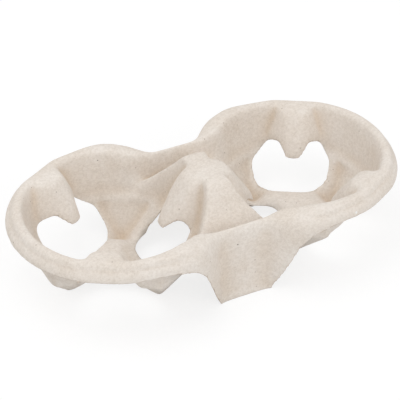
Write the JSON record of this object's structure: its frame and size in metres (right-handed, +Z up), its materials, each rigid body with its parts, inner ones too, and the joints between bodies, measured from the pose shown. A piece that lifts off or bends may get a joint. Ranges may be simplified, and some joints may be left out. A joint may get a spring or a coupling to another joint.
{
  "type": "moulded fibre cup carrier",
  "caption": "Moulded paper-fibre cup carrier with round wells side by side, sprung fingers over open floor arms, a raised divider and two side wings.",
  "frame": {"origin": "on the ground under the middle of the carrier", "axes": "+X along the row of wells, +Y across the carrier, +Z up"},
  "size_m": [0.223, 0.1192, 0.0535],
  "materials": {
    "pulp": "matte, unbleached moulded pulp"
  },
  "bodies": {
    "root": {"cup_carrier": "pulp"}
  },
  "joints": []
}
